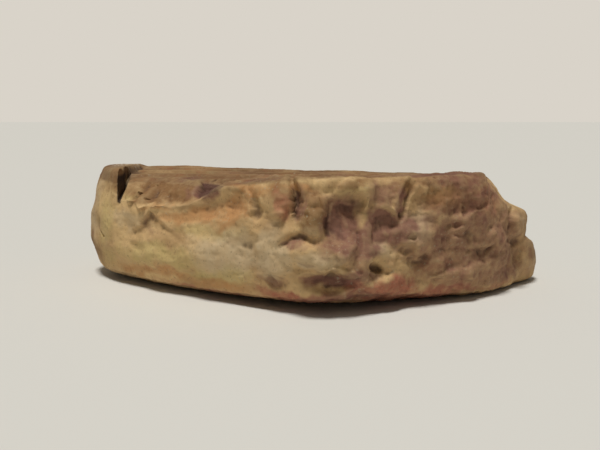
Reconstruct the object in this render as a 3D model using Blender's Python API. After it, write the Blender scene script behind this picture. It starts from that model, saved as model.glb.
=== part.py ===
"""A broken clay seal, lying face up: one solid lump of clay, in metres, +Z up.

The outline seen from above, the twisted top face, the hollowed underside and the broken front wall
are one form, written as a field that is positive inside the clay. A net of points around a plate
inside the lump is drawn in along straight rays until it meets the field, then closed to a mesh.
The slot beside the raised border and the rows of strokes on the face are cut from it afterwards.
"""

import math

import bmesh
import bpy
import numpy as np

MM = 0.001

# Overall sizes of the lump.
LENGTH = 56.8 * MM
DEPTH = 34.5 * MM
HEIGHT = 12.95 * MM

# The walls: where they start to lean in above, where they start to curl under below, worn edges.
LEAN_STARTS = 8.0 * MM
CURL_STARTS = 5.0 * MM
CURL_POWER = 1.35
WEAR = 0.38 * MM

# The top face is a twisted plane: how it rises to the right, falls to the back and twists, and how
# it curves up to the broken front.
TOP_RISE_RIGHT = 0.8 * MM
TOP_FALL_BACK = 0.55 * MM
TOP_TWIST = 6.4 * MM
TOP_CURVE = 5.5 * MM

# The impressed field on the top face, its border and its ruled lines.
BORDER_WIDTH = 6.4 * MM
BORDER_HEIGHT = 13.75 * MM
BORDER_FALL_BACK = 0.9 * MM
BACK_BORDER_WIDTH = 2.6 * MM
FIELD_SUNK = 0.15 * MM
ROW_HEIGHT = 4.1 * MM
RULE_WIDTH = 0.55 * MM
RULE_RISE = 0.28 * MM

# The strokes pressed into each row.
STROKE_LENGTH = 2.3 * MM
STROKE_WIDTH = 0.62 * MM
STROKE_DEPTH = 0.55 * MM
STROKE_SPACING = 2.7 * MM

# The slot between the left border and the field, deep at the broken front and shallow at the back.
SLOT_WIDTH = 0.85 * MM
SLOT_DEPTH = 4.2 * MM
SLOT_BACK_DEPTH = 0.5 * MM
SLOT_LENGTH = 10.5 * MM

# The underside rests on a flat patch and rises around it.
REST_HALF_LENGTH = 18.0 * MM
REST_HALF_DEPTH = 8.5 * MM
UNDERSIDE_RISE = 1.1 * MM

# The plate inside the lump that the rays start from, and the net of points.
PLATE_INSET = 4.6 * MM
PLATE_LOW = 4.0 * MM
PLATE_TOP = 9.8 * MM
REACH = 13.0 * MM
NET_AROUND = 300
FACES_KEPT = 6900

# Corners of the outline seen from above, left end first and then along the broken front:
# across as a share of the length, back as a share of the depth, and for the wall that starts
# there how far it leans in above and curls under below.
OUTLINE = (
    (-0.495, 0.268, 0.26, 0.32),
    (-0.474, 0.130, 0.18, 0.28),
    (-0.425, 0.022, 0.08, 0.20),
    (-0.050, -0.450, 0.16, 0.20),
    (0.020, -0.500, 0.16, 0.20),
    (0.095, -0.470, 0.12, 0.14),
    (0.318, -0.285, 0.16, 0.10),
    (0.515, 0.075, 0.10, 0.12),
    (0.479, 0.239, 0.25, 0.45),
    (0.363, 0.428, 0.20, 0.70),
    (0.151, 0.500, 0.15, 0.80),
    (-0.381, 0.486, 0.20, 0.80),
    (-0.470, 0.399, 0.28, 0.75),
)

# The broken front ends in a crisp lower edge, with the underside cut back below it: the edge's
# height at places across, (share, mm), and how far back the cut runs for its height.
LOWER_EDGE = ((-0.46, 1.5), (-0.39, 1.35), (-0.25, 1.0), (-0.09, 1.6), (0.05, 2.0), (0.16, 2.05), (0.25, 1.5),
              (0.335, 0.9), (0.42, 0.5))
CUT_BACK = 1.7

# Edges that run along the broken front, as (across, up) shares of the length and the height.
LIP = ((-0.42, 0.77), (-0.34, 0.77), (-0.31, 0.745), (-0.285, 0.67), (-0.255, 0.625),
       (-0.2, 0.67), (-0.135, 0.715), (-0.1, 0.80), (-0.06, 1.05))
FLAP = ((-0.42, 0.79), (-0.299, 0.755), (-0.236, 0.80), (-0.203, 0.857), (-0.165, 0.937),
        (-0.141, 0.985), (-0.10, 1.06), (-0.04, 1.10))

# The broken right end from the side: (up, across) shares, a low tip, a bump and the chipped corner.
RIGHT_END = ((0.02, 0.508), (0.17, 0.513), (0.26, 0.502), (0.39, 0.484), (0.46, 0.459),
             (0.51, 0.464), (0.66, 0.466), (0.70, 0.458), (0.73, 0.442), (0.76, 0.428),
             (0.89, 0.408), (0.97, 0.391), (1.06, 0.374))

# Lumps and dents of the broken front: across and up as shares of the length and the height,
# half width, half height and how far it stands out, in millimetres, then its turn in degrees.
LUMPS = (
    (-0.325, 0.640, 0.70, 0.40, -0.20, 20),
    (-0.255, 0.930, 1.90, 1.10, 0.55, -10),
    (-0.345, 0.400, 0.90, 0.50, -0.14, 10),
    (-0.250, 0.520, 1.10, 0.60, -0.14, 0),
    (-0.180, 0.400, 3.00, 1.80, 0.35, 0),
    (-0.300, 0.300, 2.60, 1.20, 0.30, 0),
    (-0.088, 0.830, 0.55, 1.30, -0.50, -8),
    (-0.104, 0.880, 0.50, 1.30, 0.40, 12),
    (-0.050, 0.870, 1.20, 1.80, 0.75, -10),
    (-0.048, 0.780, 0.80, 0.60, 0.30, 0),
    (0.013, 0.790, 1.10, 2.30, 0.75, 0),
    (0.007, 0.925, 0.45, 0.42, 0.40, 0),
    (0.020, 0.990, 1.15, 0.50, -0.15, 0),
    (0.066, 0.760, 2.20, 2.40, -0.80, 0),
    (0.068, 1.000, 1.15, 0.80, 0.45, 20),
    (0.108, 0.985, 1.25, 1.10, 0.55, -10),
    (0.105, 0.870, 0.30, 0.75, 0.45, -35),
    (0.140, 0.735, 1.70, 1.10, -0.55, 10),
    (0.140, 0.930, 1.10, 1.30, -0.40, 0),
    (0.027, 0.490, 3.20, 1.50, 1.00, 0),
    (-0.004, 0.490, 1.00, 0.90, 0.35, 0),
    (0.066, 0.520, 0.90, 0.90, 0.30, 0),
    (0.050, 0.475, 0.40, 0.95, -0.30, 0),
    (-0.015, 0.600, 1.60, 0.66, -0.40, 15),
    (0.055, 0.375, 2.00, 0.35, 0.45, 0),
    (0.050, 0.275, 2.90, 0.85, -0.95, 0),
    (0.126, 0.385, 0.75, 0.42, -0.90, -20),
    (-0.052, 0.265, 1.00, 0.60, -0.28, 0),
    (-0.100, 0.530, 0.80, 0.55, -0.16, 0),
    (0.145, 0.230, 2.20, 1.00, 0.45, 0),
    (0.155, 0.900, 1.20, 1.60, 0.30, 0),
    (0.240, 0.880, 2.60, 1.90, 0.45, 0),
    (0.283, 0.890, 0.70, 1.40, -0.25, 0),
    (0.278, 0.660, 1.50, 0.60, -0.30, 5),
    (0.262, 0.500, 0.80, 1.30, -0.35, 10),
    (0.300, 0.560, 2.00, 0.60, -0.25, -8),
    (0.205, 0.600, 1.80, 1.90, 0.45, 0),
    (0.345, 0.385, 2.60, 1.00, -0.45, -8),
    (0.255, 0.310, 2.40, 0.90, -0.32, 15),
    (0.188, 0.590, 0.50, 0.40, -0.26, 0),
    (0.178, 0.480, 0.90, 0.60, -0.24, 0),
    (0.203, 0.400, 1.60, 0.80, -0.32, 10),
    (0.320, 0.700, 2.20, 1.40, 0.35, 20),
    (0.290, 0.220, 2.60, 1.10, 0.30, 0),
    (0.400, 0.640, 1.60, 2.00, -0.30, 0),
    (0.370, 0.560, 1.50, 1.00, 0.40, 0),
    (0.445, 0.620, 1.50, 1.45, 0.80, 0),
    (0.430, 0.455, 1.60, 0.55, -0.60, 0),
    (0.470, 0.250, 1.60, 1.20, 0.50, 0),
    (0.395, 0.860, 0.50, 0.40, -0.50, 0),
)

# Narrow grooves and ridges of the broken front: paths of (across, up) shares, half width and depth
# in mm, less than nothing for a ridge.
CREASES = (
    (((-0.023, 1.10), (-0.020, 0.94), (-0.010, 0.80)), 0.52, 1.10),
    (((0.207, 1.08), (0.182, 0.98), (0.174, 0.92), (0.173, 0.78)), 0.50, 0.60),
    (((-0.362, 0.79), (-0.330, 0.96)), 0.75, -0.34),
    (((-0.330, 0.78), (-0.292, 0.96)), 0.75, -0.40),
    (((-0.297, 0.77), (-0.268, 0.94)), 0.65, -0.30),
    (((-0.445, 0.62), (-0.450, 0.50), (-0.435, 0.40)), 0.16, 0.35),
    (((0.036, 0.92), (0.034, 0.66)), 0.30, 0.25),
    (((0.090, 0.66), (0.088, 0.45), (0.100, 0.36)), 0.32, 0.22),
)

# Flat breaks: three corners, each (across, up, how far out in mm).
BREAKS = (
    ((-0.308, 0.705, -0.75), (-0.372, 0.440, 0.05), (-0.250, 0.480, 0.0)),
    ((-0.325, 0.790, -0.45), (-0.285, 0.960, -0.35), (-0.300, 0.790, -0.10)),
    ((0.118, 1.040, 0.10), (0.168, 1.040, -0.30), (0.170, 0.760, -0.60)),
    ((0.240, 0.480, -0.10), (0.380, 0.450, -0.45), (0.300, 0.280, -0.10)),
    ((0.300, 0.980, 0.10), (0.370, 0.820, 0.00), (0.300, 0.740, -0.45)),
)


def ramp(value, low, high):
    """0 below low, 1 above high, and a smooth rise 3t^2 - 2t^3 between them."""
    t = np.clip((value - low) / (high - low), 0, 1)
    return t * t * (3 - 2 * t)


def smooth_least(values, soft):
    """The least of several fields with the corners where they meet rounded: -s log(sum(exp(-v / s)))."""
    low = values.min(axis=0)
    return low - soft * np.log(np.exp((low - values) / soft).sum(axis=0))


def height_of(path, across):
    """The height of an edge, given as shares, at each place across, in metres."""
    xs, zs = np.array(path).T
    return np.interp(across, xs * LENGTH, zs * HEIGHT)


def walls():
    """For each wall its outward direction, its distance from the middle, its lean and its curl."""
    corners = np.array(OUTLINE)
    start = corners[:, :2] * (LENGTH, DEPTH)
    side = np.roll(start, -1, axis=0) - start
    side /= np.linalg.norm(side, axis=1)[:, None]
    outward = np.stack([side[:, 1], -side[:, 0]], axis=1)
    return outward, (outward * start).sum(axis=1), corners[:, 2], corners[:, 3]


def distance_to_path(across, up, path):
    """The distance from each point of the front wall to a path of short straight pieces."""
    points = np.array(path) * (LENGTH, HEIGHT)
    least = np.full(across.shape, np.inf)
    for (ax, az), (bx, bz) in zip(points[:-1], points[1:]):
        run = np.array([bx - ax, bz - az])
        t = np.clip(((across - ax) * run[0] + (up - az) * run[1]) / (run @ run), 0, 1)
        least = np.minimum(least, np.hypot(across - ax - t * run[0], up - az - t * run[1]))
    return least


def lump(across, up, place, half, turn):
    """1 in the middle of a turned oval of the wall, falling to 0 at its rim x^2 + z^2 = 1 and beyond."""
    c, s = math.cos(math.radians(turn)), math.sin(math.radians(turn))
    x, z = across - place[0] * LENGTH, up - place[1] * HEIGHT
    u, v = (c * x + s * z) / half[0], (c * z - s * x) / half[1]
    return 1 - ramp(np.hypot(u, v), 0.40, 1.30)


def flat_break(across, up, corners):
    """A flat three-cornered break: the plane through its corners inside them, 0 outside. Each point's
    shares of the three corners give both the height of the plane and the way to the nearest side."""
    (ax, az, ah), (bx, bz, bh), (cx, cz, ch) = corners
    x, z = across / LENGTH, up / HEIGHT
    whole = (bx - ax) * (cz - az) - (cx - ax) * (bz - az)
    b = ((x - ax) * (cz - az) - (cx - ax) * (z - az)) / whole
    c = ((bx - ax) * (z - az) - (x - ax) * (bz - az)) / whole
    shares = np.stack([1 - b - c, b, c])
    inside = ramp(shares.min(axis=0), -0.05, 0.09)
    held = np.clip(shares, 0, 1)
    return MM * inside * (held * np.array([[ah], [bh], [ch]])).sum(axis=0) / held.sum(axis=0)


def broken_bench(across, up):
    """How far the upper left of the front is broken back: a groove between lip and flap, and a slope
    above them that is steepest beside the slot."""
    lip, flap = height_of(LIP, across), height_of(FLAP, across)
    within = ramp(across, -0.388 * LENGTH, -0.376 * LENGTH)
    within = within * (1 - ramp(across, -0.11 * LENGTH, -0.08 * LENGTH))
    between = np.clip((up - lip) / np.maximum(flap - lip, 0.3 * MM), 0, 1)
    deep = 1.0 * MM * ramp(across, -0.30 * LENGTH, -0.14 * LENGTH)
    groove = deep * np.sin(np.pi * between ** 0.8) ** 1.2
    from_slot = across - (BORDER_WIDTH + 0.7 * SLOT_WIDTH - 0.5 * LENGTH)
    slope = (0.35 + 1.25 * ramp(from_slot, 0, 4.4 * MM)) * np.clip(up - flap, 0, None)
    shelf = 0.35 * MM * ramp(up, flap, flap + 0.25 * MM)
    return within * (groove + slope + shelf)


def hollow(across, up):
    """The dark hollow behind the flap: deepest at the flap, and less deep at the top face's edge."""
    floor = height_of(FLAP, across)
    inside = ramp(across, -0.214 * LENGTH, -0.200 * LENGTH)
    inside = inside * (1 - ramp(across, -0.175 * LENGTH, -0.135 * LENGTH))
    deep = (3.4 - 1.2 * np.clip((up - floor) / (2 * MM), 0, 1)) * MM
    return deep * inside * ramp(up, floor - 0.1 * MM, floor + 0.3 * MM)


def front_relief(across, up):
    """How far the broken front stands out of its plain walls, in metres, at each (across, up)."""
    out = -broken_bench(across, up) - hollow(across, up)
    for x, z, half_width, half_height, rise, turn in LUMPS:
        out += rise * MM * lump(across, up, (x, z), (half_width * MM, half_height * MM), turn)
    for path, half_width, deep in CREASES:
        near = distance_to_path(across, up, path) / (half_width * MM)
        out -= deep * MM * (1 - ramp(near, 0.35, 1.35))
    for corners in BREAKS:
        out += flat_break(across, up, corners)
    return out


def right_end(x, y, z):
    """The broken right end: its profile seen from the side, with the chipped corner above turned so
    that it draws back towards the front."""
    up, across = np.array(RIGHT_END).T
    reach = np.interp(z, up * HEIGHT, across * LENGTH)
    turned = 0.21 * ramp(z, 0.68 * HEIGHT, 0.85 * HEIGHT) * (y - 0.065 * DEPTH)
    return 0.8 * (reach + turned - x)


def chips(across, up, size, seed):
    """Flat chips with worn creases: around each of a set of scattered middles lies a tilted plane,
    h + g . (p - middle), where the heights h vary gently from one to the next and g is their slope
    there. A point takes the mean of the planes near it, weighted by exp(-14 distance^2)."""
    count = 32
    chance = np.random.default_rng(seed).uniform(-1, 1, (3, count, count))
    height = sum(np.roll(chance[0], step, axis) for axis in (0, 1) for step in (-1, 0, 1)) / 3
    slopes = [(np.roll(height, -1, axis) - np.roll(height, 1, axis)) / 2 for axis in (0, 1)]
    place = np.stack([across, up]) / size
    cell = np.floor(place).astype(int)
    total = weights = 0
    for step in np.ndindex(3, 3):
        near = cell + np.array(step)[:, None] - 1
        here = tuple(near % count)
        away = place - near - 0.5 - 0.35 * np.stack([chance[1][here], chance[2][here]])
        weight = np.exp(-14 * (away ** 2).sum(axis=0)) + 1e-9
        total = total + weight * (height[here] + slopes[0][here] * away[0] + slopes[1][here] * away[1])
        weights = weights + weight
    return total / weights


def plain_face(x, y):
    """The height of the twisted plane of the top face: h + r x - f y - t x y, and c y^2 in front."""
    across, back = x / LENGTH, y / DEPTH
    flat = HEIGHT + TOP_RISE_RIGHT * across - TOP_FALL_BACK * back
    return flat - TOP_TWIST * across * back + TOP_CURVE * np.minimum(back, 0) ** 2


def top_face(x, y):
    """The height of the top face: a plain border on the left, and a sunken field with raised rules."""
    left = ramp(x, BORDER_WIDTH - 0.5 * LENGTH - 0.1 * MM, BORDER_WIDTH - 0.5 * LENGTH + 0.8 * MM)
    edge = 0.5 * DEPTH - BACK_BORDER_WIDTH - 0.10 * (np.abs(x / LENGTH) ** 3) * DEPTH
    back = 1 - ramp(y, edge - 0.5 * MM, edge)
    from_rule = np.abs((y - 0.5 * ROW_HEIGHT) / ROW_HEIGHT % 1 - 0.5) * ROW_HEIGHT
    rule = 1 - ramp(from_rule, 0.2 * RULE_WIDTH, RULE_WIDTH)
    field = plain_face(x, y) + back * (RULE_RISE * rule - FIELD_SUNK)
    return (1 - left) * (BORDER_HEIGHT - BORDER_FALL_BACK * y / DEPTH) + left * field


def lattice_noise(x, y, z, size, seed):
    """Smooth noise from -1 to 1: seeded random numbers on a lattice, blended between its corners."""
    count = 32
    table = np.random.default_rng(seed).uniform(-1, 1, (count, count, count))
    cell = [np.floor(v / size).astype(int) for v in (x, y, z)]
    part = [v / size - c for v, c in zip((x, y, z), cell)]
    blend = [t * t * (3 - 2 * t) for t in part]
    total = 0
    for corner in np.ndindex(2, 2, 2):
        weight = 1
        for axis in range(3):
            weight = weight * (blend[axis] if corner[axis] else 1 - blend[axis])
        total = total + weight * table[tuple((cell[axis] + corner[axis]) % count for axis in range(3))]
    return total


def front_share(x, y):
    """1 on the broken front and 0 on the whole sides and back."""
    return 1 - ramp(y + 0.12 * DEPTH * ramp(x, 0, 0.5 * LENGTH), -0.02 * DEPTH, 0.16 * DEPTH)


def clay(points):
    """The whole form: positive inside the clay, about the distance to its surface in metres."""
    x, y, z = points.T
    outward, reach, lean, curl = walls()
    above = np.clip(z - LEAN_STARTS, 0, None)
    below = CURL_STARTS * np.clip(1 - z / CURL_STARTS, 0, None) ** CURL_POWER
    uneven = 0.45 * MM * lattice_noise(x, y, z, 5.5 * MM, 3)
    uneven += 0.22 * MM * lattice_noise(x, y, z, 2.3 * MM, 8)
    bent = [v + 0.5 * MM * lattice_noise(x, y, z, 2.4 * MM, seed)
            + 0.12 * MM * lattice_noise(x, y, z, 0.9 * MM, seed + 2) for v, seed in ((x, 21), (z, 22))]
    flat = 0.42 * MM * chips(x + 0.6 * y, z, 2.7 * MM, 31) + 0.14 * MM * chips(x + 0.6 * y, z, 1.3 * MM, 33)
    torn = 0.35 + 0.65 * ramp(x, -0.12 * LENGTH, 0.06 * LENGTH)
    share, edge = np.array(LOWER_EDGE).T
    cut_back = CUT_BACK * np.clip(np.interp(x, share * LENGTH, edge * MM) + 0.5 * uneven - z, 0, None)
    bumps = front_share(x, y) * (front_relief(*bent) + torn * flat - cut_back) + uneven
    sides = reach[:, None] - outward @ points.T[:2] - np.outer(lean, above) - np.outer(curl, below) + bumps
    face = top_face(x, y) + 0.35 * uneven
    out = np.hypot((x - 0.12 * LENGTH) / REST_HALF_LENGTH, (y - 0.06 * DEPTH) / REST_HALF_DEPTH)
    under = UNDERSIDE_RISE * np.clip(out - 1, 0, None) ** 1.3
    field = smooth_least(np.vstack([sides, face - z, z - under]), WEAR)
    end = right_end(x, y, z) + 0.5 * uneven + 0.6 * flat
    return smooth_least(np.stack([field, end]), 0.25 * MM)


def plate_rim(around):
    """Points around the rim of the inner plate, evenly spaced on the wall outside it, and their directions."""
    outward, reach, _, _ = walls()
    turn = np.linspace(0, 2 * math.pi, 4001)
    ray = np.stack([np.cos(turn), np.sin(turn)])
    facing = outward @ ray
    far = np.where(facing > 0.05, (reach - PLATE_INSET)[:, None] / np.maximum(facing, 0.05), 1.0)
    rim = (smooth_least(far, 0.6 * MM) * ray).T
    run = np.gradient(np.vstack([rim[-2], rim, rim[1]]), axis=0)[1:-1]
    facing_out = np.stack([run[:, 1], -run[:, 0]], axis=1)
    facing_out /= np.linalg.norm(facing_out, axis=1)[:, None]
    wall = rim + 1.1 * PLATE_INSET * facing_out
    steps = np.linalg.norm(np.diff(wall, axis=0), axis=1)
    steps *= 1 + 0.9 * (1 - ramp(wall[1:, 1], -0.1 * DEPTH, 0.2 * DEPTH))
    length = np.concatenate([[0], np.cumsum(steps)])
    places = np.linspace(0, length[-1], around + 1)[:-1]
    at = [np.interp(places, length, line) for line in (*rim.T, *facing_out.T)]
    return np.stack(at[:2], axis=1), np.stack(at[2:], axis=1)


def rays(around):
    """The net's rays, row by row from the underside up the wall to the top face: where each starts on
    the inner plate and which way it points. Rows run straight down, fan out, run level, fan in, run up."""
    rim, outward = plate_rim(around)
    row = 0.42 * 1.9 * (LENGTH + DEPTH) / around
    fan = max(6, round(8.6 * MM / row))
    wall = max(3, round((PLATE_TOP - PLATE_LOW) / row))
    starts, ways = [], []

    def add(share, height, angle):
        starts.append(np.column_stack([rim * share, np.full(around, height)]))
        ways.append(np.column_stack([outward * math.cos(angle), np.full(around, math.sin(angle))]))

    for share in np.linspace(0.06, 1, fan // 2 + 2)[:-1]:
        add(share, PLATE_LOW, -math.pi / 2)
    for angle in np.linspace(-math.pi / 2, 0, fan + 1)[:-1]:
        add(1, PLATE_LOW, angle)
    for height in np.linspace(PLATE_LOW, PLATE_TOP, wall + 1)[:-1]:
        add(1, height, 0)
    for angle in np.linspace(0, math.pi / 2, fan + 1)[:-1]:
        add(1, PLATE_TOP, angle)
    for share in np.linspace(1, 0.03, fan + 2):
        add(share, PLATE_TOP, math.pi / 2)
    return np.array(starts), np.array(ways)


def drawn_in(starts, ways):
    """Where each ray first meets the clay from outside: it steps in by a share of the field's value,
    then halves the last step until the surface is found."""
    flat_starts, flat_ways = starts.reshape(-1, 3), ways.reshape(-1, 3)
    outer = np.full(len(flat_starts), REACH)
    inner = outer.copy()
    moving = np.arange(len(outer))
    for _ in range(120):
        value = clay(flat_starts[moving] + inner[moving, None] * flat_ways[moving])
        still = (value < 0) & (inner[moving] > 0.3 * MM)
        moving, value = moving[still], value[still]
        if not len(moving):
            break
        outer[moving] = inner[moving]
        inner[moving] -= np.maximum(0.55 * -value, 0.04 * MM)
    inner = np.maximum(inner, 0.2 * MM)
    for _ in range(12):
        middle = (inner + outer) / 2
        inside = clay(flat_starts + middle[:, None] * flat_ways) > 0
        inner, outer = np.where(inside, middle, inner), np.where(inside, outer, middle)
    points = flat_starts + inner[:, None] * flat_ways
    points[np.abs(points[:, 2]) < 0.03 * MM, 2] = 0
    return points.reshape(starts.shape)


def closed_mesh(name, net):
    """The net as a closed mesh: its rows joined by quads, and a fan to one point at each end."""
    rows, around, _ = net.shape
    low, high = net[0].mean(axis=0), net[-1].mean(axis=0)
    low[2] = net[0, :, 2].min()
    points = np.vstack([net.reshape(-1, 3), low, high])
    this = np.arange(around)
    after = np.roll(this, -1)
    quads = []
    for row in range(rows - 1):
        a, b = row * around, (row + 1) * around
        quads.append(np.stack([a + this, a + after, b + after, b + this], axis=1))
    last = (rows - 1) * around
    fans = [(rows * around, after[i], this[i]) for i in this]
    fans += [(rows * around + 1, last + this[i], last + after[i]) for i in this]
    mesh = bpy.data.meshes.new(name)
    mesh.from_pydata(points.tolist(), [], np.vstack(quads).tolist() + [tuple(map(int, f)) for f in fans])
    mesh.update()
    return mesh


def add_wedge(bm, corners):
    """A closed solid with these corners, as their convex hull."""
    made = [bm.verts.new(corner) for corner in corners]
    bmesh.ops.convex_hull(bm, input=made)


def slot_cutter(bm):
    """The slot: upright on its left, slanting on its right, with a floor that rises to the back."""
    left = BORDER_WIDTH - 0.5 * LENGTH
    front, back = -0.16 * DEPTH, -0.16 * DEPTH + SLOT_LENGTH
    proud = 2 * MM
    corners = []
    for y, deep, wide in ((front, SLOT_DEPTH, SLOT_WIDTH), (back, SLOT_BACK_DEPTH, 0.5 * SLOT_WIDTH)):
        top = plain_face(left, y)
        corners += [(left, y, top - deep), (left + 0.3 * wide, y, top - deep)]
        corners += [(left, y, top + proud), (left + wide * (1 + proud / deep), y, top + proud)]
    add_wedge(bm, corners)


def stroke_cutters(bm):
    """Rows of wedge-shaped strokes, each with a broad deep head and a thin tail, turned a little."""
    chance = np.random.default_rng(17)
    for row in range(-3, 3):
        y = (row + 0.5) * ROW_HEIGHT
        reach = 0.5 * LENGTH * (1 - 0.30 * abs(y / (0.5 * DEPTH)) ** 2)
        field_starts = BORDER_WIDTH + SLOT_WIDTH + 1.4 * MM - 0.5 * LENGTH
        left = max(field_starts, -0.245 * LENGTH - 1.3 * (y - 0.02 * DEPTH))
        right = min(reach - 4.2 * MM, 0.27 * LENGTH + 1.5 * (y + 0.26 * DEPTH))
        x = left
        while x < right:
            turn = math.radians(90 + chance.uniform(-38, 38)) * (1 if chance.random() > 0.25 else 0.15)
            long = STROKE_LENGTH * chance.uniform(0.7, 1.0)
            add_stroke(bm, x, y + chance.uniform(-0.3, 0.3) * MM, turn, long)
            x += STROKE_SPACING * chance.uniform(0.75, 1.25)


def add_stroke(bm, x, y, turn, long):
    """One stroke: a wedge with a triangular head sunk into the face and a tail that runs out to nothing."""
    c, s = math.cos(turn), math.sin(turn)
    proud = 0.25 * MM
    corners = []
    for along, half, deep in ((-0.5, 0.5, 0.0), (-0.42, 0.1, 1.0), (-0.2, 0.42, 0.25), (0.5, 0.10, 0.05)):
        for side in (-1, 1):
            u, v = along * long, side * half * STROKE_WIDTH
            px, py = x + c * u - s * v, y + s * u + c * v
            field = plain_face(px, py) - FIELD_SUNK
            corners.append((px, py, field - deep * STROKE_DEPTH))
            corners.append((px, py, field + proud + RULE_RISE))
    add_wedge(bm, corners)


def cutter(name, shapes, middle):
    """An object that only cuts: hidden in a render, drawn as wire."""
    bm = bmesh.new()
    shapes(bm)
    bmesh.ops.translate(bm, verts=bm.verts, vec=-middle)
    bmesh.ops.recalc_face_normals(bm, faces=bm.faces)
    mesh = bpy.data.meshes.new(name)
    bm.to_mesh(mesh)
    bm.free()
    obj = bpy.data.objects.new(name, mesh)
    obj.hide_render = True
    obj.display_type = "WIRE"
    bpy.context.scene.collection.objects.link(obj)
    return obj


def clay_material():
    """Dry clay: matte, a yellowish brown."""
    material = bpy.data.materials.new("clay")
    material.use_nodes = True
    shader = material.node_tree.nodes["Principled BSDF"]
    shader.inputs["Base Color"].default_value = (0.27, 0.17, 0.085, 1)
    shader.inputs["Roughness"].default_value = 0.9
    return material


def seal():
    """The lump with its slot and strokes cut, its flat stretches in few faces, and the origin under its
    middle on the surface it rests on."""
    net = drawn_in(*rays(NET_AROUND))
    middle = (net.min(axis=(0, 1)) + net.max(axis=(0, 1))) / 2 * (1, 1, 0)
    mesh = closed_mesh("clay_seal", net - middle)
    mesh.materials.append(clay_material())
    obj = bpy.data.objects.new("clay_seal", mesh)
    bpy.context.scene.collection.objects.link(obj)
    fewer = obj.modifiers.new("fewer faces", "DECIMATE")
    fewer.ratio = FACES_KEPT / (2 * len(mesh.polygons))
    for name, shapes in (("slot_cutter", slot_cutter), ("stroke_cutters", stroke_cutters)):
        cut = obj.modifiers.new(name, "BOOLEAN")
        cut.operation = "DIFFERENCE"
        cut.solver = "EXACT"
        cut.use_self = name == "stroke_cutters"
        cut.object = cutter(name, shapes, middle)
    return obj


def main():
    for old in list(bpy.data.objects):
        bpy.data.objects.remove(old)
    return seal()


SEAL = main()
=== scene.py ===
"""A broken clay seal lying face up: the lump's whole weathered skin as one fine mesh.

The outline, the twisted top face, the hollowed underside and the broken front are one form, a field
that is positive inside the clay. A net of points around a plate inside the lump is drawn in along
straight rays until it meets the field. Grain, chips and pits are then pressed into the net along its
normals, the slot beside the border is cut out of it, and stains are laid over it as masks that the
clay's material reads, together with painted shade in its recesses, in the slot and under what faces
down, and a painted highlight on its raised edges.
"""

import math

import bmesh
import bpy
import numpy as np
from mathutils import Euler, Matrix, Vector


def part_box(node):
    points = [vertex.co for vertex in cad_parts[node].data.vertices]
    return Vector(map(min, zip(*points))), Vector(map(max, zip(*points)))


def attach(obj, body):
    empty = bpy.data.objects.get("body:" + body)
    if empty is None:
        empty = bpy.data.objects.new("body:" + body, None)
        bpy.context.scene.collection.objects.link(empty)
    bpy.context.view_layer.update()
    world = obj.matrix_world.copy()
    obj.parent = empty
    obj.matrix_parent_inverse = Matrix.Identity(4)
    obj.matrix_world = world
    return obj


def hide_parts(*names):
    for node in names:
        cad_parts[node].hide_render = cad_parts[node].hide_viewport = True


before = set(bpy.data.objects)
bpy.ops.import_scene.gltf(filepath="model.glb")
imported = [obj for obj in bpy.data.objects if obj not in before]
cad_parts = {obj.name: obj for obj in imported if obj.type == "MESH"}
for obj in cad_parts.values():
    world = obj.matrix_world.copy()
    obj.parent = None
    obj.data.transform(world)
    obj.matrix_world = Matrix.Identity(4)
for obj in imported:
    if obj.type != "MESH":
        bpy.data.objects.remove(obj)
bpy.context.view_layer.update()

MM = 0.001

# Overall sizes of the lump, the same as the solid's.
LENGTH = 56.8 * MM
DEPTH = 34.5 * MM
HEIGHT = 12.95 * MM

# The walls: where they start to lean in above, where they start to curl under below, how round
# their edges and those of the right end are worn, and how far the chips on the front are sheared.
LEAN_STARTS = 8.0 * MM
CURL_STARTS = 5.0 * MM
CURL_POWER = 1.35
WEAR = 0.38 * MM
END_WEAR = 0.25 * MM
FRONT_SLANT = 0.6

# The top face is a twisted plane: how it rises to the right, falls to the back and twists, and how
# it curves up to the broken front.
TOP_RISE_RIGHT = 0.8 * MM
TOP_FALL_BACK = 0.55 * MM
TOP_TWIST = 6.4 * MM
TOP_CURVE = 5.5 * MM

# The impressed field on the top face, its border and its ruled lines. The border is 0.35 mm higher
# than the solid's.
BORDER_WIDTH = 6.4 * MM
BORDER_EDGE = BORDER_WIDTH - 0.5 * LENGTH
BORDER_HEIGHT = 14.1 * MM
BORDER_FALL_BACK = 0.9 * MM
BACK_BORDER_WIDTH = 2.6 * MM
FIELD_SUNK = 0.15 * MM
ROW_HEIGHT = 4.1 * MM
RULE_WIDTH = 0.55 * MM
RULE_RISE = 0.28 * MM

# The front edge of the top face is worn down right of the middle, which the solid leaves out: where,
# how far around, how deep.
WORN_EDGE_PLACE = (0.185 * LENGTH, -0.40 * DEPTH)
WORN_EDGE_REACH = 8.5 * MM
WORN_EDGE_DEPTH = 0.52 * MM

# The strokes pressed into each row.
STROKE_LENGTH = 2.3 * MM
STROKE_WIDTH = 0.62 * MM
STROKE_DEPTH = 0.55 * MM
STROKE_SPACING = 2.7 * MM

# The slot between the left border and the field, deep at the broken front and shallow at the back.
# Its width at the back and at the floor are shares of its width in front, and its walls and its
# floor are uneven: height in mm, size in mm and seed.
SLOT_FRONT = -0.16 * DEPTH
SLOT_WIDTH = 0.85 * MM
SLOT_DEPTH = 4.2 * MM
SLOT_BACK_DEPTH = 0.5 * MM
SLOT_LENGTH = 10.5 * MM
SLOT_BACK_SHARE = 0.5
SLOT_FLOOR_SHARE = 0.3
SLOT_WALL_LUMPS = ((0.16, 1.6, 81), (0.07, 0.5, 82))
SLOT_FLOOR_LUMPS = ((0.25, 1.8, 83),)

# The thin crack behind the slot, and the pale crust on the border beside it.
TAIL_ENDS = 13.5 * MM
TAIL_DEPTH = 0.3 * MM
CRUST_MIDDLE = (-0.412 * LENGTH, 0.31 * DEPTH)
CRUST_HALF = (1.6 * MM, 6.0 * MM)

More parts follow.
